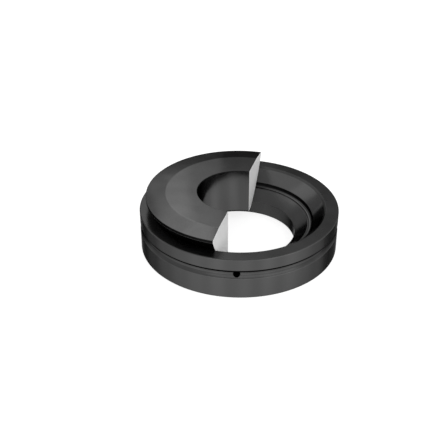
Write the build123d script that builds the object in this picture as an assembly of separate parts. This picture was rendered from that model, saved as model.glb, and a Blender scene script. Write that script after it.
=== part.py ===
from build123d import *
import os
from math import sqrt

# Thrust spherical plain bearing. Its shaft washer is cut in half through the axis, which shows the inside.
# Sizes are in millimetres. The origin is on the axis at the bottom face, and +Z points up to the shaft.

# Sphere that both washers share: the housing washer's raceway has this radius
sphere_radius = 64.0
running_clearance = 0.1  # between the concave and the convex sphere

# Housing washer
housing_diameter = 120.0
housing_height = 25.5
housing_bore = 68.5
bore_land_height = 9.0  # straight stretch of the bore, below the raceway
rim_chamfer_depth = 0.8  # broken edge between the raceway and the top face
rim_chamfer_width = 0.5
housing_corner_chamfer = 0.4  # both corners of the outer wall
housing_bore_chamfer = 0.8

# Shaft washer
shaft_bore = 50.0
shaft_washer_diameter = 112.0
foot_width = 4.7  # flat ring under the washer, between its bore and the sphere
rim_land_height = 1.7  # straight wall between the sphere and the cone
seat_diameter = 88.0  # flat seat for the shaft's shoulder
cone_drop = 1.35  # fall of the shallow cone from the seat to the rim
shaft_bore_chamfer = 0.5
sphere_edge_chamfer = 0.2  # both corners of the rim, and the foot's outer corner

# Cutaway: the part of the shaft washer that is left, in the middle of which lies -X
cutaway_arc = 180.0  # degrees

# Lubrication of the housing washer
oil_hole_diameter = 4.0
oil_hole_count = 2
oil_hole_angle = -76.4  # degrees from +X to the first hole
oil_hole_height = 15.6  # axis of the holes, and middle of the groove in the outer wall
outer_groove_depth = 1.3
outer_groove_radius = 3.5  # of the groove's round section
raceway_groove_rise = 0.5  # from the axis of the holes to the middle of the raceway's groove
raceway_groove_depth = 1.2
raceway_groove_radius = 2.3

# Places that follow from the sizes
housing_radius = housing_diameter / 2
housing_bore_radius = housing_bore / 2
shaft_bore_radius = shaft_bore / 2
shaft_washer_radius = shaft_washer_diameter / 2
convex_radius = sphere_radius - running_clearance
sphere_centre_height = bore_land_height + sqrt(sphere_radius**2 - housing_bore_radius**2)


def height_on_sphere(radius, from_axis):
    """Height of the lower half of a sphere about the shared centre, at a distance from the axis."""
    return sphere_centre_height - sqrt(radius**2 - from_axis**2)


def distance_on_sphere(radius, height):
    """Distance from the axis of a sphere about the shared centre, at a height."""
    return sqrt(radius**2 - (sphere_centre_height - height) ** 2)


# The shaft washer lies in the sphere, which sets the heights of its foot and of its rim
foot_radius = shaft_bore_radius + foot_width
foot_height = height_on_sphere(convex_radius, foot_radius)
sphere_top_height = height_on_sphere(convex_radius, shaft_washer_radius)
rim_height = sphere_top_height + rim_land_height
stack_height = rim_height + cone_drop


def ring(section, arc=360.0):
    """Ring turned about the axis from its section, and if it is only a part of one, centred on -X.

    A section is drawn flat, with the distance from the axis along x and the height along y.
    """
    turned = revolve(Plane.XZ * section, Axis.Z, arc)
    return Rot(0, 0, 180 - arc / 2) * turned


def corners_at(section, places):
    """Corners of a section that lie at the given places."""
    return [section.vertices().sort_by_distance(place)[0] for place in places]


def outer_groove():
    """Round section of the groove in the outer wall."""
    middle = housing_radius - outer_groove_depth + outer_groove_radius
    return Pos(middle, oil_hole_height) * Circle(outer_groove_radius)


def raceway_groove():
    """Round section of the raceway's groove. Its middle lies on a line from the sphere's centre."""
    height = oil_hole_height + raceway_groove_rise
    reach = (sphere_radius + raceway_groove_depth - raceway_groove_radius) / sphere_radius
    middle = distance_on_sphere(sphere_radius, height) * reach
    middle_height = sphere_centre_height - (sphere_centre_height - height) * reach
    return Pos(middle, middle_height) * Circle(raceway_groove_radius)


def housing_section():
    """Section of the housing washer, with the two oil grooves cut out of it."""
    rim_low_height = housing_height - rim_chamfer_depth
    rim_low_radius = distance_on_sphere(sphere_radius, rim_low_height)
    rim_top_radius = distance_on_sphere(sphere_radius, housing_height) + rim_chamfer_width
    raceway_foot = (housing_bore_radius, bore_land_height)
    bore_corner = (housing_bore_radius, 0)
    lower_corner = (housing_radius, 0)
    upper_corner = (housing_radius, housing_height)
    raceway = RadiusArc((rim_low_radius, rim_low_height), raceway_foot, sphere_radius)
    walls = Polyline(
        raceway @ 1,
        bore_corner,
        lower_corner,
        upper_corner,
        (rim_top_radius, housing_height),
        raceway @ 0,
    )
    section = make_face([raceway, walls])
    section = chamfer(corners_at(section, [lower_corner, upper_corner]), housing_corner_chamfer)
    section = chamfer(corners_at(section, [bore_corner]), housing_bore_chamfer)
    return section - [outer_groove(), raceway_groove()]


def oil_holes():
    """Level drills, evenly spaced, from inside the raceway out through the outer wall."""
    outwards = (Align.CENTER, Align.CENTER, Align.MIN)
    drill = Rot(0, 90, 0) * Cylinder(oil_hole_diameter / 2, housing_radius - housing_bore_radius, align=outwards)
    places = PolarLocations(housing_bore_radius, oil_hole_count, oil_hole_angle)
    return [place * Pos(0, 0, oil_hole_height) * drill for place in places]


def shaft_section():
    """Section of the shaft washer: sphere below, flat seat and shallow cone above, bore inside."""
    sphere_top = (shaft_washer_radius, sphere_top_height)
    sphere_foot = (foot_radius, foot_height)
    rim = (shaft_washer_radius, rim_height)
    bore_foot = (shaft_bore_radius, foot_height)
    bore_top = (shaft_bore_radius, stack_height)
    sphere = RadiusArc(sphere_top, sphere_foot, convex_radius)
    walls = Polyline(sphere @ 1, bore_foot, bore_top, (seat_diameter / 2, stack_height), rim, sphere @ 0)
    section = make_face([sphere, walls])
    section = chamfer(corners_at(section, [rim, sphere_top, sphere_foot]), sphere_edge_chamfer)
    return chamfer(corners_at(section, [bore_top, bore_foot]), shaft_bore_chamfer)


def housing_washer():
    """Lower washer: concave raceway, straight bore, oil grooves inside and outside, and oil holes."""
    return ring(housing_section()) - oil_holes()


def shaft_washer():
    """Upper washer: convex sphere that runs in the raceway, cut in half through the axis."""
    return ring(shaft_section(), cutaway_arc)


os.makedirs("parts", exist_ok=True)
export_step(housing_washer(), "parts/housing_washer.step")
export_step(shaft_washer(), "parts/shaft_washer.step")
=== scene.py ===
import logging
import math
from dataclasses import dataclass, field, replace
from enum import Enum

import bpy
import numpy as np
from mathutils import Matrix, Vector


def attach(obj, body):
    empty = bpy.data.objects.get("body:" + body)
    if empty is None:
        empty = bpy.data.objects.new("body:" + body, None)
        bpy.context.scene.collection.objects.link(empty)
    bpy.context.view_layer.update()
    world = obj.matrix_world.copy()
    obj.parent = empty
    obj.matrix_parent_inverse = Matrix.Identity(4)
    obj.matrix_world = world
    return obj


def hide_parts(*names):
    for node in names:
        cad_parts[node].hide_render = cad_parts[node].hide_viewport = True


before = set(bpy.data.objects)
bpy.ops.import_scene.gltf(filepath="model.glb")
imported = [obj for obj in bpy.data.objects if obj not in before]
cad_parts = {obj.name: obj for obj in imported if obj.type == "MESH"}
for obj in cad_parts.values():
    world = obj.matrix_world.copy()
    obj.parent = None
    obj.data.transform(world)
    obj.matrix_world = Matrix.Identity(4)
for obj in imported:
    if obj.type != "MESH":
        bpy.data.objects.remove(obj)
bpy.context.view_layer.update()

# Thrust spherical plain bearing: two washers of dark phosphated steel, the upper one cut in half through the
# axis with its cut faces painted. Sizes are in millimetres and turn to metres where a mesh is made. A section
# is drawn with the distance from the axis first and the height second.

Array = np.ndarray
Place = tuple[float, float]

MM = 0.001
CORNER_STEPS = 4  # facets across a broken corner
log = logging.getLogger("bearing")


class Finish(Enum):
    """Surface finishes on the washers; the value is the material's number on a piece."""

    GROUND = 0  # seat and cone of the shaft washer: the smoothest
    LAPPED = 1  # the two spheres
    # rough, and near black as painted shade in grooves, holes and corners
    TURNED_PAINTED_SHADE = 2  # shaft washer's rim and foot, bore corners, drilled walls, upper groove flanks: near black
    PAINTED = 3  # cut faces
    WALL = 4  # outer wall, and the floor of its groove
    BORED = 5  # bore of the shaft washer
    FACED = 6  # flat faces, rim and bore of the housing washer
    # darker than the raceway beside it: painted shade
    GROOVED_PAINTED_SHADE = 7  # raceway's groove below its upper flank
    # darker than the wall: painted shade
    WALL_GROOVE_PAINTED_SHADE = 8  # lower flank of the groove in the outer wall: darker than the wall


def rounded(before: Array, corner: Array, after: Array, t: Array) -> Array:
    """Points of the curve (1-t)^2 A + 2t(1-t) C + t^2 B, which rounds a corner C on the way from A to B."""
    return (1 - t) ** 2 * before + 2 * t * (1 - t) * corner + t**2 * after


@dataclass(frozen=True)
class Straight:
    """Straight stretch of a section's outline."""

    start: Place
    end: Place
    steps: int = 1
    finish: Finish = Finish.GROUND

    def length(self) -> float:
        """Length of the stretch."""
        return math.dist(self.start, self.end)

    def places(self, along: Array) -> Array:
        """Start plus the share along times the way to the end."""
        return np.array(self.start) + along[:, None] * np.subtract(self.end, self.start)

    def headings(self, along: Array) -> Array:
        """Unit direction of travel, the same at every share along."""
        return np.broadcast_to(np.subtract(self.end, self.start) / self.length(), (len(along), 2))


@dataclass(frozen=True)
class Round:
    """Stretch of a section's outline on a circle, between two angles in degrees."""

    centre: Place
    radius: float
    start_angle: float
    end_angle: float
    steps: int
    finish: Finish = Finish.GROUND

    def angles(self, along: Array) -> Array:
        """Angles in radians that go evenly from the start to the end."""
        return np.radians(self.start_angle + along * (self.end_angle - self.start_angle))

    def length(self) -> float:
        """Length of the arc."""
        return self.radius * math.radians(abs(self.end_angle - self.start_angle))

    def places(self, along: Array) -> Array:
        """Centre plus the radius times (cos a, sin a)."""
        a = self.angles(along)
        return np.array(self.centre) + self.radius * np.column_stack([np.cos(a), np.sin(a)])

    def headings(self, along: Array) -> Array:
        """Unit tangents (-sin a, cos a), turned about where the angle falls."""
        a = self.angles(along)
        sense = math.copysign(1.0, self.end_angle - self.start_angle)
        return sense * np.column_stack([-np.sin(a), np.cos(a)])


@dataclass(frozen=True)
class Outline:
    """Closed outline of a section, walked with the metal on the left.

    Each stretch comes with the size of the broken corner at its end.
    """

    stretches: tuple[tuple[Straight | Round, float], ...]

    def trace(self) -> tuple[Array, Array, Array]:
        """Walks the outline once.

        A corner is rounded between the places that lie the break's size before and after it. The outward
        normal is the direction of travel turned to the right, (dz, -dr).

        Returns:
            Places, outward normals, and the number of the finish from each place to the next.
        """
        places, headings, finishes = [], [], []
        t = np.linspace(0, 1, CORNER_STEPS + 1)[1:-1, None]
        for number, (stretch, corner_break) in enumerate(self.stretches):
            following = self.stretches[(number + 1) % len(self.stretches)][0]
            previous_break = self.stretches[number - 1][1]
            along = np.linspace(
                previous_break / stretch.length(), 1 - corner_break / stretch.length(), stretch.steps + 1
            )
            walked = stretch.places(along)
            before = walked[-1]
            corner = stretch.places(np.ones(1))[0]
            after = following.places(np.array([corner_break / following.length()]))[0]
            turn = (1 - t) * (corner - before) + t * (after - corner)
            places += [walked, rounded(before, corner, after, t)]
            headings += [stretch.headings(along), turn / np.linalg.norm(turn, axis=1, keepdims=True)]
            finishes.append(np.full(len(along) + len(t), stretch.finish.value))
        way = np.concatenate(headings)
        return np.concatenate(places), np.column_stack([way[:, 1], -way[:, 0]]), np.concatenate(finishes)


def turned(distance: Array, height: Array, angle: Array) -> Array:
    """Points at a distance from the axis, a height and an angle: (d cos a, d sin a, h).

    Args:
        distance: Distances from the axis, or the parts of directions along it.
        height: Heights, or the upright parts of directions.
        angle: Angles in radians. The three arrays share one shape after broadcasting.

    Returns:
        Array of that shape with x, y and z last.
    """
    return np.stack(np.broadcast_arrays(distance * np.cos(angle), distance * np.sin(angle), height), axis=-1)


@dataclass
class Skin:
    """Points, outward normals and faces of one piece, gathered patch by patch."""

    points: list[Array] = field(default_factory=list)
    normals: list[Array] = field(default_factory=list)
    faces: list[list[int]] = field(default_factory=list)
    finishes: list[int] = field(default_factory=list)
    count: int = 0

    def lay(self, points: Array, normals: Array) -> Array:
        """Adds a grid of points.

        Args:
            points: Rows by columns by three.
            normals: Outward directions of the same shape.

        Returns:
            The points' numbers, rows by columns.
        """
        rows, columns = points.shape[:2]
        self.points.append(points.reshape(-1, 3))
        self.normals.append(normals.reshape(-1, 3))
        numbers = self.count + np.arange(rows * columns).reshape(rows, columns)
        self.count += rows * columns
        return numbers

    def weave(self, numbers: Array, finishes: Array | int, kept: Array | None = None) -> None:
        """Adds the cells of a grid as four-sided faces, which point outwards where columns x rows does.

        Args:
            numbers: The points' numbers, rows by columns.
            finishes: Finish of each cell, or as a column of each row of cells, or one for all of them.
            kept: Which cells are added, or all of them.
        """
        cells = np.stack([numbers[:-1, :-1], numbers[:-1, 1:], numbers[1:, 1:], numbers[1:, :-1]], axis=-1)
        dressed = np.broadcast_to(finishes, cells.shape[:2])
        if kept is None:
            kept = np.ones(cells.shape[:2], bool)
        self.faces += cells[kept].tolist()
        self.finishes += dressed[kept].tolist()

    def close(self, numbers: Array, finish: Finish) -> None:
        """Adds one flat face whose corners are given against the clock as seen from outside."""
        self.faces.append(numbers.tolist())
        self.finishes.append(finish.value)

    def piece(self, name: str, materials: list[bpy.types.Material]) -> bpy.types.Object:
        """Makes the piece's mesh in metres, without the points that no face uses.

        Args:
            name: Name of the piece.
            materials: Materials in the order of the finishes' numbers.

        Returns:
            The new object, which stands at the origin.
        """
        used, corners = np.unique(np.concatenate(self.faces), return_inverse=True)
        faces = np.split(corners, np.cumsum([len(face) for face in self.faces])[:-1])
        mesh = bpy.data.meshes.new(name)
        mesh.from_pydata(np.concatenate(self.points)[used] * MM, [], faces)
        for material in materials:
            mesh.materials.append(material)
        mesh.polygons.foreach_set("material_index", self.finishes)
        mesh.polygons.foreach_set("use_smooth", np.ones(len(self.faces), bool))
        normals = np.concatenate(self.normals)[used]
        mesh.normals_split_custom_set_from_vertices(normals / np.linalg.norm(normals, axis=1, keepdims=True))
        mesh.update()
        made = bpy.data.objects.new(name, mesh)
        bpy.context.scene.collection.objects.link(made)
        return made


@dataclass(frozen=True)
class OilHole:
    """Level hole between the two walls of a ring, with a broken edge at both mouths."""

    height: float
    radius: float
    edge: float = 0.08
    columns: int = 8  # cells of the ring that a mouth takes up, across
    rows: int = 34  # and up
    reach: float = 2.5  # from the axis up and down, which those cells reach past on both walls
    rings: int = 5  # of cells between the mouth and the cells left out round it
    depth_steps: int = 3
    least_facing: float = 0.3  # part of a normal across the axis, from which a place counts as wall

    def loop(self, rows: Array, columns: Array) -> tuple[Array, Array]:
        """Walks round a rectangle of the ring's points against the clock, from its first row and column.

        Args:
            rows: Row numbers with the height rising.
            columns: Column numbers with the angle rising.

        Returns:
            Row numbers and column numbers of the points round it.
        """
        down, up = np.full(self.columns, rows[0]), np.full(self.columns, rows[-1])
        left, right = np.full(self.rows, columns[0]), np.full(self.rows, columns[-1])
        return (
            np.concatenate([down, rows[:-1], up, rows[:0:-1]]),
            np.concatenate([columns[:-1], right, columns[:0:-1], left]),
        )

    def mouth(self, wall: Array, across: Array, step: Array, outwards: float) -> tuple[Array, Array, Array]:
        """Wall round one mouth, from the cells that were left out to the drilled wall.

        A point lies between the rectangle's border and the hole's circle, on a row of the ring or between two
        rows, and its depth x = sqrt(r^2 - y^2) puts it on the turned wall of that row's radius r. Rows are
        counted and not heights, as the raceway's groove undercuts a little. Where a point of the circle then
        misses its height, the points on the way to it are lifted by their share of the rest. The edge is
        rounded as a section's corner is.

        Args:
            wall: Radius, height and normal (r, z) of the ring's wall, row by row from below.
            across: Places y of the border across the hole's axis.
            step: Which of those rows each point of the border lies on.
            outwards: 1 for the outer wall and -1 for the inner one.

        Returns:
            Points and normals, rings by points round the hole by (x, y, z), with x along the hole, and the
            rows on which the points of the wall lie.
        """
        round_hole = 2 * math.pi * (np.arange(len(across)) - self.columns / 2) / len(across) - math.pi / 2
        circle = np.stack([np.cos(round_hole), np.sin(round_hole)])
        count = np.arange(len(wall))
        rising = np.maximum.accumulate(wall[:, 1])

        def on_wall(y: Array, row: Array, lift: Array) -> tuple[Array, Array]:
            radius, height, normal_r, normal_z = (np.interp(row, count, part) for part in wall.T)
            x = np.sqrt(radius**2 - y**2)
            return (
                np.stack([x, y, height + lift], -1),
                np.stack([normal_r * x / radius, normal_r * y / radius, normal_z], -1),
            )

        def row_and_rest(height: Array) -> tuple[Array, Array]:
            row = np.interp(height, rising, count)
            return row, height - np.interp(row, count, wall[:, 1])

        share = np.linspace(0, 1, self.rings + 1)[1:, None]
        widened = (self.radius + self.edge) * circle
        end_row, rest = row_and_rest(self.height + widened[1])
        row = step + share * (end_row - step)
        points, normals = on_wall(across + share * (widened[0] - across), row, share * rest)
        corner, facing = on_wall(
            self.radius * circle[0], *row_and_rest(self.height + self.radius * circle[1])
        )
        inside = corner - outwards * self.edge * np.array([1.0, 0, 0])
        towards_axis = np.column_stack([0 * round_hole, -circle[0], -circle[1]])
        t = np.linspace(0, 1, CORNER_STEPS + 1)[1:, None, None]
        edge_points = rounded(points[-1], corner, inside, t)
        edge_normals = (1 - t) * facing + t * towards_axis
        return np.concatenate([points, edge_points]), np.concatenate([normals, edge_normals]), row

    def drill(
        self, skin: Skin, outline: tuple[Array, Array, Array], ring: Array, angles: Array, column: int
    ) -> Array:
        """Joins the two walls of a ring by a hole whose axis lies at one of the ring's columns.

        Args:
            skin: The ring's skin, which gets the hole's points and faces.
            outline: Places, outward normals and finishes of the ring's section.
            ring: Numbers of the ring's points, rows along the outline by columns round the axis.
            angles: Angles of the columns in radians.
            column: The column of the hole's axis.

        Returns:
            Which of the ring's cells the hole leaves in place.
        """
        places, facing, dressed = outline
        kept = np.ones(ring.shape, bool)
        columns = column + np.arange(-self.columns // 2, self.columns // 2 + 1)
        mouths, borders, bands = [], [], []
        for outwards in (1.0, -1.0):
            is_wall = facing[:, 0] * outwards > self.least_facing
            low, high = (
                np.argmin(np.where(is_wall, abs(places[:, 1] - self.height - way), np.inf))
                for way in (-self.reach, self.reach)
            )
            rows = (low + high) // 2 + np.arange(-self.rows // 2, self.rows // 2 + 1)
            kept[rows[0]:rows[-1], columns[0]:columns[-1]] = False
            rows = rows[::int(outwards)]
            step, loop_columns = self.loop(np.arange(len(rows)), columns)
            across = places[rows[step], 0] * np.sin(angles[loop_columns] - angles[column])
            wall = np.column_stack([places[rows], facing[rows]])
            mouths.append(self.mouth(wall, across, step, outwards))
            borders.append(ring[rows[step], loop_columns])
            bands.append(dressed[np.minimum(rows[:-1], rows[1:])])
        (outer, outer_normals, outer_rows), (inner, inner_normals, inner_rows) = mouths
        share = np.linspace(0, 1, self.depth_steps + 1)[1:-1, None, None]
        points = np.concatenate([outer, outer[-1] + share * (inner[-1] - outer[-1]), inner[::-1]])
        normals = np.concatenate(
            [outer_normals, np.repeat(outer_normals[-1:], self.depth_steps - 1, axis=0), inner_normals[::-1]]
        )
        turn = angles[column]
        to_ring = np.array([[np.cos(turn), np.sin(turn), 0], [-np.sin(turn), np.cos(turn), 0], [0, 0, 1]])
        numbers = skin.lay(points @ to_ring, normals @ to_ring)
        loops = np.vstack([borders[0], numbers, borders[1]])
        # the drilled wall is near black: painted shade
        finishes = np.full((len(loops) - 1, loops.shape[1]), Finish.TURNED_PAINTED_SHADE.value)
        sides = (slice(self.rings), outer_rows), (slice(-self.rings, None), inner_rows[::-1])
        for (side, row), band in zip(sides, bands):
            middle = (row + np.roll(row, -1, axis=1)) / 2
            finishes[side] = band[np.clip(middle.astype(int), 0, len(band) - 1)]
        skin.weave(np.hstack([loops, loops[:, :1]]), finishes)
        return kept


@dataclass(frozen=True)
class SphereSeat:
    """Spheres about one centre that the two washers share, and the heights that follow."""

    radius: float = 64.0
    clearance: float = 0.1
    housing_bore_radius: float = 34.25
    bore_land_height: float = 9.0

    @property
    def centre(self) -> float:
        """Height of the centre, from where the raceway meets the bore: land plus sqrt(R^2 - r^2)."""
        return self.bore_land_height + math.sqrt(self.radius**2 - self.housing_bore_radius**2)

    def distance(self, radius: float, height: float) -> float:
        """Distance from the axis of a sphere of that radius at a height."""
        return math.sqrt(radius**2 - (self.centre - height) ** 2)

    def height(self, radius: float, distance: float) -> float:
        """Height of a sphere of that radius, at a distance from the axis below the centre."""
        return self.centre - math.sqrt(radius**2 - distance**2)

    def angle(self, place: Place) -> float:
        """Angle in degrees from the centre to a place of the section."""
        return math.degrees(math.atan2(place[1] - self.centre, place[0]))


@dataclass(frozen=True)
class HousingWasher:
    """Lower washer: concave raceway, straight bore, an oil groove in each wall and two oil holes."""

    seat: SphereSeat
    radius: float = 60.0
    height: float = 25.5
    rim_depth: float = 0.8
    rim_width: float = 0.5
    corner: float = 0.4
    bore_corner: float = 0.8
    outer_groove_depth: float = 1.3
    outer_groove_radius: float = 3.5
    raceway_groove_rise: float = 0.5
    raceway_groove_depth: float = 1.2
    raceway_groove_radius: float = 2.3
    # the upper flanks of both grooves are painted near black as shade
    outer_flank_share: float = 0.32  # of the groove's arc that its dark upper flank takes up
    outer_floor_angle: float = 10.0  # below the groove's middle, where its floor meets the lower flank
    raceway_flank_share: float = 0.45
    corner_break: float = 0.15  # of the outer corners and the outer groove's lower edge
    rim_break: float = 0.2  # of the rim's and the bore's corners
    flank_break: float = 0.05  # between two finishes of a groove
    groove_break: float = 0.1  # of both grooves' upper edges
    groove_foot_break: float = 0.4  # of the raceway groove's lower edge
    raceway_foot_break: float = 0.3  # between the raceway and the bore
    hole: OilHole = OilHole(height=15.6, radius=2.0)
    hole_angle: float = -76.4
    hole_count: int = 2
    columns: int = 384

    def outer_groove(self) -> tuple[Round, Round, Round]:
        """Lower flank, floor and upper flank of the groove in the outer wall, which each have a finish."""
        radius = self.outer_groove_radius
        centre = (self.radius - self.outer_groove_depth + radius, self.hole.height)
        half = math.degrees(math.acos((centre[0] - self.radius) / radius))
        floor_end = 180 - half * (1 - 2 * self.outer_flank_share)
        return (
            # the lower flank is darker than the wall: painted shade
            Round(centre, radius, 180 + half, 180 + self.outer_floor_angle, 10, Finish.WALL_GROOVE_PAINTED_SHADE),
            Round(centre, radius, 180 + self.outer_floor_angle, floor_end, 8, Finish.WALL),
            # the groove's upper flank is near black: painted shade
            Round(centre, radius, floor_end, 180 - half, 6, Finish.TURNED_PAINTED_SHADE),
        )

    def raceway_groove(self) -> tuple[Round, Round, float]:
        """Upper flank and rest of the raceway's groove, and half its width as an angle of the sphere."""
        sphere, groove = self.seat.radius, self.raceway_groove_radius
        reach = sphere + self.raceway_groove_depth - groove
        middle_height = self.hole.height + self.raceway_groove_rise
        middle = self.seat.angle((self.seat.distance(sphere, middle_height), middle_height))
        half = math.acos((sphere**2 + reach**2 - groove**2) / (2 * sphere * reach))
        opening = math.degrees(math.atan2(sphere * math.sin(half), sphere * math.cos(half) - reach))
        centre = (
            reach * math.cos(math.radians(middle)),
            self.seat.centre + reach * math.sin(math.radians(middle)),
        )
        flank = opening * (1 - 2 * self.raceway_flank_share)
        return (
            # the groove's upper flank is near black: painted shade
            Round(centre, groove, middle + opening, middle + flank, 7, Finish.TURNED_PAINTED_SHADE),
            # the groove below its upper flank is darker than the raceway: painted shade
            Round(centre, groove, middle + flank, middle - opening, 8, Finish.GROOVED_PAINTED_SHADE),
            math.degrees(half),
        )

    def outline(self) -> Outline:
        """Section of the washer, from the inner edge of its underside and up the outer wall."""
        sphere = self.seat.radius
        rim_low = (self.seat.distance(sphere, self.height - self.rim_depth), self.height - self.rim_depth)
        rim_top = (self.seat.distance(sphere, self.height) + self.rim_width, self.height)
        bore = self.seat.housing_bore_radius
        bore_top = (bore, self.seat.bore_land_height)
        outer_foot, outer_floor, outer_flank = self.outer_groove()
        inner_flank, inner, half = self.raceway_groove()
        outer_low = tuple(outer_foot.places(np.zeros(1))[0])
        outer_high = tuple(outer_flank.places(np.ones(1))[0])
        middle = (inner_flank.start_angle + inner.end_angle) / 2
        centre = (0.0, self.seat.centre)
        raceway_high = Round(centre, sphere, self.seat.angle(rim_low), middle + half, 18, Finish.LAPPED)
        raceway_low = Round(centre, sphere, middle - half, self.seat.angle(bore_top), 18, Finish.LAPPED)
        underside = Straight((bore + self.bore_corner, 0), (self.radius - self.corner, 0), 1, Finish.FACED)
        lower_corner, upper_corner = (self.radius, self.corner), (self.radius, self.height - self.corner)
        top_start, bore_foot = (self.radius - self.corner, self.height), (bore, self.bore_corner)
        return Outline((
            (underside, self.corner_break),
            (Straight(underside.end, lower_corner, 1, Finish.WALL), self.corner_break),
            (Straight(lower_corner, outer_low, 4, Finish.WALL), self.corner_break),
            (outer_foot, self.flank_break),
            (outer_floor, self.flank_break),
            (outer_flank, self.groove_break),
            (Straight(outer_high, upper_corner, 3, Finish.WALL), self.corner_break),
            (Straight(upper_corner, top_start, 1, Finish.FACED), self.corner_break),
            (Straight(top_start, rim_top, 2, Finish.FACED), self.rim_break),
            (Straight(rim_top, rim_low, 1, Finish.FACED), self.rim_break),
            (raceway_high, self.groove_break),
            (inner_flank, self.flank_break),
            (inner, self.groove_foot_break),
            (raceway_low, self.raceway_foot_break),
            (Straight(bore_top, bore_foot, 3, Finish.FACED), self.rim_break),
            # the bore's lower corner is near black: painted shade
            (Straight(bore_foot, underside.start, 1, Finish.TURNED_PAINTED_SHADE), self.rim_break),
        ))

    def build(self, materials: list[bpy.types.Material]) -> bpy.types.Object:
        """Turns the section about the axis, without the cells where the holes are, and adds the holes."""
        places, facing, finishes = self.outline().trace()
        quarter = self.columns // 4
        round_ring = 2 * math.pi * (np.arange(self.columns) - quarter) / self.columns
        angles = math.radians(self.hole_angle) + round_ring
        skin = Skin()
        ring = skin.lay(
            turned(places[:, :1], places[:, 1:], angles), turned(facing[:, :1], facing[:, 1:], angles)
        )
        kept = np.ones(ring.shape, bool)
        for number in range(self.hole_count):
            column = quarter + number * self.columns // self.hole_count
            kept &= self.hole.drill(skin, (places, facing, finishes), ring, angles, column)
        closed = np.vstack([ring, ring[:1]])
        skin.weave(np.hstack([closed, closed[:, :1]]), finishes[:, None], kept)
        return skin.piece("housing_ring", materials)


@dataclass(frozen=True)
class ShaftWasher:
    """Upper washer, cut in half through the axis: convex sphere, straight bore, flat seat, shallow cone."""

    seat: SphereSeat
    bore: float = 25.0
    radius: float = 56.0
    foot_width: float = 4.7
    rim_land: float = 1.7
    seat_radius: float = 44.0
    cone_drop: float = 1.35
    bore_corner: float = 0.5
    rim_corner: float = 0.12
    cone_break: float = 0.4  # where the cone meets the flat seat
    cut_edge: float = 0.06
    columns: int = 190

    def outline(self) -> Outline:
        """Section of the washer, from the inner edge of its foot and up the sphere."""
        sphere = self.seat.radius - self.seat.clearance
        foot = (self.bore + self.foot_width, self.seat.height(sphere, self.bore + self.foot_width))
        sphere_top = (self.radius, self.seat.height(sphere, self.radius))
        rim = (self.radius, sphere_top[1] + self.rim_land)
        top = rim[1] + self.cone_drop
        from_foot, to_rim = self.seat.angle(foot), self.seat.angle(sphere_top)
        ball = Round((0.0, self.seat.centre), sphere, from_foot, to_rim, 48, Finish.LAPPED)
        corner = self.bore_corner
        flat_end, bore_start = (self.bore + corner, top), (self.bore, top - corner)
        bore_end, foot_start = (self.bore, foot[1] + corner), (self.bore + corner, foot[1])
        return Outline((
            # foot, rim land and bore corners are near black: painted shade
            (Straight(foot_start, foot, 1, Finish.TURNED_PAINTED_SHADE), self.rim_corner),
            (ball, self.rim_corner),
            (Straight(sphere_top, rim, 1, Finish.TURNED_PAINTED_SHADE), self.rim_corner),
            (Straight(rim, (self.seat_radius, top), 4), self.cone_break),
            (Straight((self.seat_radius, top), flat_end, 4), self.rim_corner),
            (Straight(flat_end, bore_start, 1, Finish.TURNED_PAINTED_SHADE), self.rim_corner),
            (Straight(bore_start, bore_end, 8, Finish.BORED), self.rim_corner),
            (Straight(bore_end, foot_start, 1, Finish.TURNED_PAINTED_SHADE), self.rim_corner),
        ))

    def build(self, materials: list[bpy.types.Material]) -> bpy.types.Object:
        """Carries the section round from one cut face to the other.

        Near a cut the section shrinks along its normals by e (1 - cos f) at a distance e (1 - sin f) from the
        cut face, and the normal turns from the wall's to the face's by the angle f, so the cut edge is a
        quarter round.
        """
        places, facing, finishes = self.outline().trace()
        r, z = places[:, :1], places[:, 1:]
        f = np.linspace(math.pi / 2, 0, CORNER_STEPS + 1)
        inset, distance = self.cut_edge * (1 - np.cos(f)), self.cut_edge * (1 - np.sin(f))
        shrunk = r - inset * facing[:, :1]
        near_angle = math.pi / 2 + np.arcsin(distance / shrunk)
        near = turned(shrunk, z - inset * facing[:, 1:], near_angle)
        near_normals = np.cos(f)[:, None] * turned(facing[:, :1], facing[:, 1:], near_angle)
        near_normals = near_normals + np.sin(f)[:, None] * np.array([1.0, 0, 0])
        step = math.pi / (self.columns + 1)
        angles = math.pi / 2 + step * np.arange(1, self.columns + 1)
        normals = turned(facing[:, :1], facing[:, 1:], angles)
        mirror = np.array([1.0, -1.0, 1.0])
        skin = Skin()
        grid = skin.lay(
            np.concatenate([near, turned(r, z, angles), (near * mirror)[:, ::-1]], axis=1),
            np.concatenate([near_normals, normals, (near_normals * mirror)[:, ::-1]], axis=1),
        )
        closed = np.vstack([grid, grid[:1]])
        last = len(f)
        skin.weave(closed[:, :last], Finish.PAINTED.value)
        skin.weave(closed[:, last - 1:1 - last], finishes[:, None])
        skin.weave(closed[:, -last:], Finish.PAINTED.value)
        skin.close(grid[:, 0], Finish.PAINTED)
        skin.close(grid[::-1, -1], Finish.PAINTED)
        return skin.piece("shaft_half_ring", materials)


def linear(colour: str) -> tuple[float, float, float, float]:
    """Turns an sRGB colour such as #4b4b4b to linear red, green, blue and alpha."""
    parts = np.array([int(colour[i:i + 2], 16) for i in (1, 3, 5)]) / 255
    red, green, blue = np.where(parts <= 0.04045, parts / 12.92, ((parts + 0.055) / 1.055) ** 2.4).tolist()
    return red, green, blue, 1.0


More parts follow.
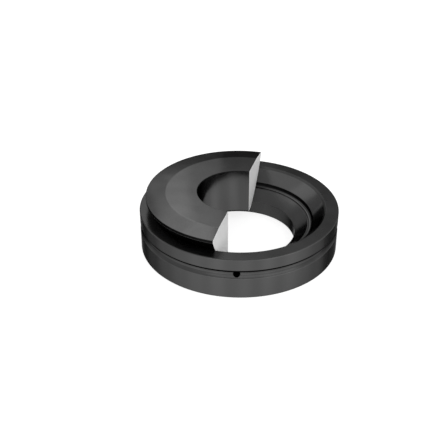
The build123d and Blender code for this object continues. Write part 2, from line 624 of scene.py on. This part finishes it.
def add_node(
    tree: bpy.types.NodeTree,
    kind: str,
    settings: dict[str | int, object] | None = None,
    links: dict[str | int, bpy.types.NodeSocket] | None = None,
) -> bpy.types.Node:
    """Adds a node with its settings and links.

    Args:
        tree: Node tree of a material or world.
        kind: Blender's name of the node, without ShaderNode.
        settings: Values by the name or number of an input, or by the name of a property of the node.
        links: Output sockets by the name or number of the input that they feed.

    Returns:
        The new node.
    """
    node = tree.nodes.new("ShaderNode" + kind)
    for name, value in (settings or {}).items():
        if isinstance(name, str) and hasattr(node, name):
            setattr(node, name, value)
        else:
            node.inputs[name].default_value = value
    for name, source in (links or {}).items():
        tree.links.new(source, node.inputs[name])
    return node


def new_material(name: str) -> tuple[bpy.types.Material, bpy.types.NodeTree]:
    """Makes an empty material that is worked out by nodes."""
    material = bpy.data.materials.new(name)
    material.use_nodes = True
    material.node_tree.nodes.clear()
    return material, material.node_tree


@dataclass(frozen=True)
class PhosphatedSteel:
    """Bearing steel, machined and then phosphated: a fine grey-black skin of crystals over even tool marks.

    It gives the eye a dark satin metal. The marks run round the axis, so highlights stretch across them where
    the anisotropy is high, and the crystals swallow the light that would glance off a bare metal at a flat
    angle. The lighter colour lies in faint clouds, which on the walls are drawn out upright.
    """

    name: str
    colour: str
    light_colour: str
    roughness: float = 0.14
    roughness_spread: float = 0.02  # to both sides, from the darkest to the lightest place
    anisotropy: float = 0.0
    edge_tint: float = 0.3
    mark_spacing: float = 1.4  # real marks are some hundredths apart; drawn coarse, as they wouldn't show
    mark_depth: float = 0.002
    grain_size: float = 0.9  # crystals are some hundredths too, drawn as the cloud that they make
    grain_share: float = 0.4  # in the colour
    grain_relief: float = 0.25  # share in the bumps, beside the marks
    cloud_size: float = 14.0
    cloud_upright: float = 1.0  # how many times longer the clouds are upright than across
    cloud_detail: float = 1.0
    cloud_seed: float = 0.0
    cloud_range: Place = (0.35, 0.65)  # of the pattern, from the darker to the lighter colour

    def make(self) -> bpy.types.Material:
        """Builds the material."""
        material, tree = new_material(self.name)
        place = add_node(tree, "TexCoord").outputs["Object"]
        flat = add_node(tree, "VectorMath", {"operation": "MULTIPLY", 1: (1, 1, 0)}, {0: place})
        distance = add_node(tree, "VectorMath", {"operation": "LENGTH"}, {0: flat.outputs["Vector"]})
        height = add_node(tree, "SeparateXYZ", links={0: place}).outputs["Z"]
        section = add_node(tree, "CombineXYZ", links={"X": distance.outputs["Value"], "Y": height}).outputs[0]
        marks = add_node(
            tree, "TexNoise", {"Scale": 1 / (self.mark_spacing * MM), "Detail": 2.0}, {"Vector": section}
        )
        grain = add_node(
            tree, "TexNoise", {"Scale": 1 / (self.grain_size * MM), "Detail": 3.0}, {"Vector": place}
        )
        drawn_out = add_node(
            tree, "VectorMath", {"operation": "MULTIPLY", 1: (1, 1, 1 / self.cloud_upright)}, {0: place}
        )
        cloud = add_node(
            tree,
            "TexNoise",
            {
                "noise_dimensions": "4D",
                "W": self.cloud_seed,
                "Scale": 1 / (self.cloud_size * MM),
                "Detail": self.cloud_detail,
            },
            {"Vector": drawn_out.outputs[0]},
        )
        marks, grain, cloud = (texture.outputs[0] for texture in (marks, grain, cloud))
        mottled = add_node(tree, "Mix", {"Factor": self.grain_share}, {"A": cloud, "B": grain}).outputs[0]
        dark, light = self.cloud_range
        shade = add_node(
            tree, "MapRange", {"From Min": dark, "From Max": light}, {"Value": mottled}
        ).outputs[0]
        colour = add_node(
            tree,
            "Mix",
            {"data_type": "RGBA", 6: linear(self.colour), 7: linear(self.light_colour)},
            {0: shade},
        ).outputs[2]
        roughness = add_node(
            tree,
            "MapRange",
            {
                "To Min": self.roughness - self.roughness_spread,
                "To Max": self.roughness + self.roughness_spread,
            },
            {"Value": shade},
        ).outputs[0]
        relief = add_node(tree, "Mix", {"Factor": self.grain_relief}, {"A": marks, "B": grain}).outputs[0]
        bump = add_node(
            tree, "Bump", {"Strength": 1.0, "Distance": self.mark_depth * MM}, {"Height": relief}
        )
        tangent = add_node(tree, "Tangent", {"direction_type": "RADIAL", "axis": "Z"}).outputs[0]
        metal = add_node(
            tree,
            "BsdfPrincipled",
            {
                "Metallic": 1.0,
                "Specular Tint": (self.edge_tint, self.edge_tint, self.edge_tint, 1.0),
                "Anisotropic": self.anisotropy,
                "Anisotropic Rotation": 0.25,
            },
            {"Base Color": colour, "Roughness": roughness, "Normal": bump.outputs[0], "Tangent": tangent},
        )
        add_node(tree, "OutputMaterial", links={"Surface": metal.outputs[0]})
        return material


@dataclass(frozen=True)
class CutPaint:
    """Satin paint brushed on a sawn and milled face: pale grey, with a faint orange peel.

    It gives the eye an even, nearly matt face. Its colour holds painted light and shade: lighter towards
    the foot, which evens out the lamps' fall, and duller on the rear face as painted shade.
    """

    name: str = "pale_grey_paint_brushed"
    colour: str = "#f7f7f7"
    painted_shade_colour: str = "#d7d7d7"
    roughness: float = 0.55
    peel_size: float = 1.6
    peel_depth: float = 0.01
    cloud_size: float = 9.0
    cloud_share: float = 0.12
    # painted light and shade: the colour grows lighter this way, towards the foot and the front face
    painted_light_towards: tuple[float, float, float] = (0.0, -0.3, -1.0)
    painted_shade_reach: float = 49.0  # how far against that direction the dull colour lies, from the origin

    def make(self) -> bpy.types.Material:
        """Builds the material."""
        material, tree = new_material(self.name)
        place = add_node(tree, "TexCoord").outputs["Object"]
        cloud = add_node(
            tree, "TexNoise", {"Scale": 1 / (self.cloud_size * MM), "Detail": 3.0}, {"Vector": place}
        )
        peel = add_node(
            tree, "TexNoise", {"Scale": 1 / (self.peel_size * MM), "Detail": 1.0}, {"Vector": place}
        )
        way = add_node(tree, "VectorMath", {"operation": "DOT_PRODUCT", 1: self.painted_light_towards}, {0: place})
        fall = add_node(
            tree,
            "MapRange",
            {"From Min": -self.painted_shade_reach * MM, "From Max": 0.0},
            {"Value": way.outputs["Value"]},
        )
        shade = add_node(
            tree, "Mix", {"Factor": self.cloud_share}, {"A": fall.outputs[0], "B": cloud.outputs[0]}
        )
        # painted light and shade: from the duller colour up on the rear face to the lighter one at the foot
        colour = add_node(
            tree,
            "Mix",
            {"data_type": "RGBA", 6: linear(self.painted_shade_colour), 7: linear(self.colour)},
            {0: shade.outputs[0]},
        ).outputs[2]
        bump = add_node(
            tree, "Bump", {"Strength": 0.6, "Distance": self.peel_depth * MM}, {"Height": peel.outputs[0]}
        )
        paint = add_node(
            tree,
            "BsdfPrincipled",
            {"Roughness": self.roughness},
            {"Base Color": colour, "Normal": bump.outputs[0]},
        )
        add_node(tree, "OutputMaterial", links={"Surface": paint.outputs[0]})
        return material


@dataclass(frozen=True)
class Softbox:
    """Large even panel light that faces the bearing. At a brightness of 1 it looks as white as the page."""

    name: str
    azimuths: Place  # of its left and right edge, in degrees to the camera's right from behind the bearing
    elevations: Place  # of its lower and upper edge
    brightness: float
    distance: float = 1.5  # in metres

    def build(self, camera_azimuth: float) -> None:
        """Hangs the panel. Its power is brightness times pi times its area.

        Args:
            camera_azimuth: Direction in degrees from +Y, against the clock, in which the camera looks.
        """
        middle, half = np.radians(np.add(*self.azimuths) / 2), np.radians(np.ptp(self.azimuths) / 2)
        rise, half_rise = np.radians(np.add(*self.elevations) / 2), np.radians(np.ptp(self.elevations) / 2)
        away = math.radians(90 + camera_azimuth) - middle
        level = math.cos(rise)
        direction = Vector((math.cos(away) * level, math.sin(away) * level, math.sin(rise)))
        lamp = bpy.data.lights.new(self.name, "AREA")
        lamp.shape = "RECTANGLE"
        lamp.size = 2 * self.distance * math.tan(half) * level
        lamp.size_y = 2 * self.distance * math.tan(half_rise)
        lamp.energy = self.brightness * math.pi * lamp.size * lamp.size_y
        held = bpy.data.objects.new(self.name, lamp)
        held.location = direction * self.distance
        held.rotation_euler = direction.to_track_quat("Z", "Y").to_euler()
        bpy.context.scene.collection.objects.link(held)


@dataclass(frozen=True)
class Studio:
    """Plain white floor, grey room, soft panels, and the camera."""

    camera_place: tuple[float, float, float] = (106.71, -414.25, 274.99)
    camera_down: float = 31.477  # degrees below level
    camera_azimuth: float = 15.83  # degrees from +Y, against the clock
    lens: float = 66.28
    sensor: float = 36.0
    clip: Place = (0.01, 50.0)  # nearest and farthest that the camera sees, in metres
    room: float = 0.6  # light that the room gives
    floor_size: float = 6.0  # in metres
    floor_drop: float = 0.05  # below the bearing
    floor_own_light: float = 0.8
    floor_colour: str = "#b0b0b0"
    panels: tuple[Softbox, ...] = (
        Softbox("panel_behind", azimuths=(-15.0, -0.5), elevations=(12.0, 44.0), brightness=1.2),
        Softbox("panel_behind_inner", azimuths=(-12.0, -4.0), elevations=(22.0, 40.0), brightness=1.1),
        Softbox("panel_behind_high", azimuths=(-34.0, -4.0), elevations=(44.0, 56.0), brightness=1.5),
        Softbox("panel_low_right", azimuths=(36.0, 66.0), elevations=(4.0, 26.0), brightness=1.2),
        Softbox("panel_behind_left", azimuths=(-78.0, -48.0), elevations=(16.0, 44.0), brightness=0.25),
        Softbox("panel_front", azimuths=(116.0, 216.0), elevations=(4.0, 36.0), brightness=1.6),
        Softbox("panel_right", azimuths=(62.0, 150.0), elevations=(30.0, 56.0), brightness=0.8),
    )

    def floor(self) -> None:
        """Lays a flat square just below the bearing."""
        side = np.array([-0.5, 0.5]) * self.floor_size
        x, y = np.meshgrid(side, side)
        places = np.column_stack([x.ravel(), y.ravel(), np.full(4, -self.floor_drop * MM)])
        mesh = bpy.data.meshes.new("floor")
        mesh.from_pydata(places, [], [[0, 1, 3, 2]])
        mesh.materials.append(self.paper())
        made = bpy.data.objects.new("floor", mesh)
        bpy.context.scene.collection.objects.link(made)

    def seen(self, tree: bpy.types.NodeTree, hidden: float, shown: float) -> bpy.types.NodeSocket:
        """Strength of the backdrop's own light: one for what it lights, and one for what looks at it.

        Args:
            tree: Node tree of the floor or the room.
            hidden: Strength of the light that it gives.
            shown: Strength where the camera, a gloss or a glass sees it.

        Returns:
            The socket with the strength.
        """
        rays = add_node(tree, "LightPath").outputs
        seen = rays["Is Camera Ray"]
        for kind in ("Is Glossy Ray", "Is Transmission Ray"):
            seen = add_node(tree, "Math", {"operation": "MAXIMUM"}, {0: seen, 1: rays[kind]}).outputs[0]
        return add_node(tree, "MapRange", {"To Min": hidden, "To Max": shown}, {"Value": seen}).outputs[0]

    def paper(self) -> bpy.types.Material:
        """Matt white backdrop paper, which the camera and mirrored rays see as white, with its shadows."""
        material, tree = new_material("white_backdrop_paper")
        white = add_node(tree, "Emission", links={"Strength": self.seen(tree, 0.0, self.floor_own_light)})
        matt = add_node(tree, "BsdfDiffuse", {"Color": linear(self.floor_colour)})
        both = add_node(tree, "AddShader", links={0: matt.outputs[0], 1: white.outputs[0]})
        add_node(tree, "OutputMaterial", links={"Surface": both.outputs[0]})
        return material

    def camera(self) -> None:
        """Sets up the camera where the photograph was taken from, as the bearing's edges in it give."""
        lens = bpy.data.cameras.new("camera")
        lens.lens = self.lens
        lens.sensor_width = self.sensor
        lens.clip_start, lens.clip_end = self.clip
        held = bpy.data.objects.new("camera", lens)
        held.location = Vector(self.camera_place) * MM
        held.rotation_euler = (math.radians(90 - self.camera_down), 0.0, math.radians(self.camera_azimuth))
        bpy.context.scene.collection.objects.link(held)
        bpy.context.scene.camera = held

    def build(self) -> None:
        """Sets up the room, the floor, the panels and the camera."""
        scene = bpy.context.scene
        world = bpy.data.worlds.new("room")
        world.use_nodes = True
        world.node_tree.nodes.clear()
        strength = self.seen(world.node_tree, self.room, 1.0)
        walls = add_node(world.node_tree, "Background", {"Color": (1, 1, 1, 1)}, {"Strength": strength})
        add_node(world.node_tree, "OutputWorld", links={"Surface": walls.outputs[0]})
        scene.world = world
        scene.view_settings.view_transform = "Standard"
        self.floor()
        for panel in self.panels:
            panel.build(self.camera_azimuth)
        self.camera()


def corners(box: tuple[Vector, Vector]) -> list[list[float]]:
    """Lowest and highest corner of a box as plain lists."""
    return [list(corner) for corner in box]


def main() -> None:
    """Builds the studio and the two washers."""
    logging.basicConfig(level=logging.INFO, format="%(name)s: %(message)s")
    Studio().build()
    wall = PhosphatedSteel(
        "phosphated_steel_turned_wall",
        "#4b4b4b",
        "#555555",
        roughness=0.35,
        anisotropy=0.8,
        edge_tint=0.15,
        grain_share=0.1,
        cloud_size=11.0,
        cloud_upright=10.0,
        cloud_detail=0.0,
    )
    # Besides roughness, the finishes differ a little in colour (#3c3c3c to #4d4d4d): painted light and shade
    # between surfaces of one steel
    materials = [
        PhosphatedSteel("phosphated_steel_ground", "#444444", "#4a4a4a", roughness=0.1).make(),
        PhosphatedSteel("phosphated_steel_lapped", "#4d4d4d", "#535353", edge_tint=0.5).make(),
        # near black: painted shade on the grooves' upper flanks, drilled walls, bore corners, and the shaft
        # washer's rim and foot
        PhosphatedSteel("phosphated_steel_turned", "#121212", "#1a1a1a", roughness=0.4).make(),
        CutPaint().make(),
        wall.make(),
        PhosphatedSteel(
            "phosphated_steel_bored_wall",
            "#4c4c4c",
            "#5a5a5a",
            grain_share=0.1,
            cloud_size=10.0,
            cloud_upright=10.0,
        ).make(),
        PhosphatedSteel(
            "phosphated_steel_faced", "#3c3c3c", "#424242", roughness=0.28, grain_share=0.1
        ).make(),
        # darker than the lapped raceway: painted shade in the groove
        PhosphatedSteel("phosphated_steel_grooved_painted_shade", "#3c3c3c", "#424242").make(),
        # as the wall, but darker: painted shade on the groove's lower flank
        replace(
            wall, name="phosphated_steel_wall_groove_painted_shade", colour="#3c3c3c", light_colour="#444444"
        ).make(),
    ]
    seat = SphereSeat()
    for washer, body, node in (
        (HousingWasher(seat), "housing", "housing_washer"),
        (ShaftWasher(seat), "shaft", "shaft_washer"),
    ):
        piece = washer.build(materials)
        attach(piece, body)
        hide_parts(node)
        log.info("%s stands for %s on %s, %d faces", piece.name, node, body, len(piece.data.polygons))


if __name__ == "__main__":
    main()
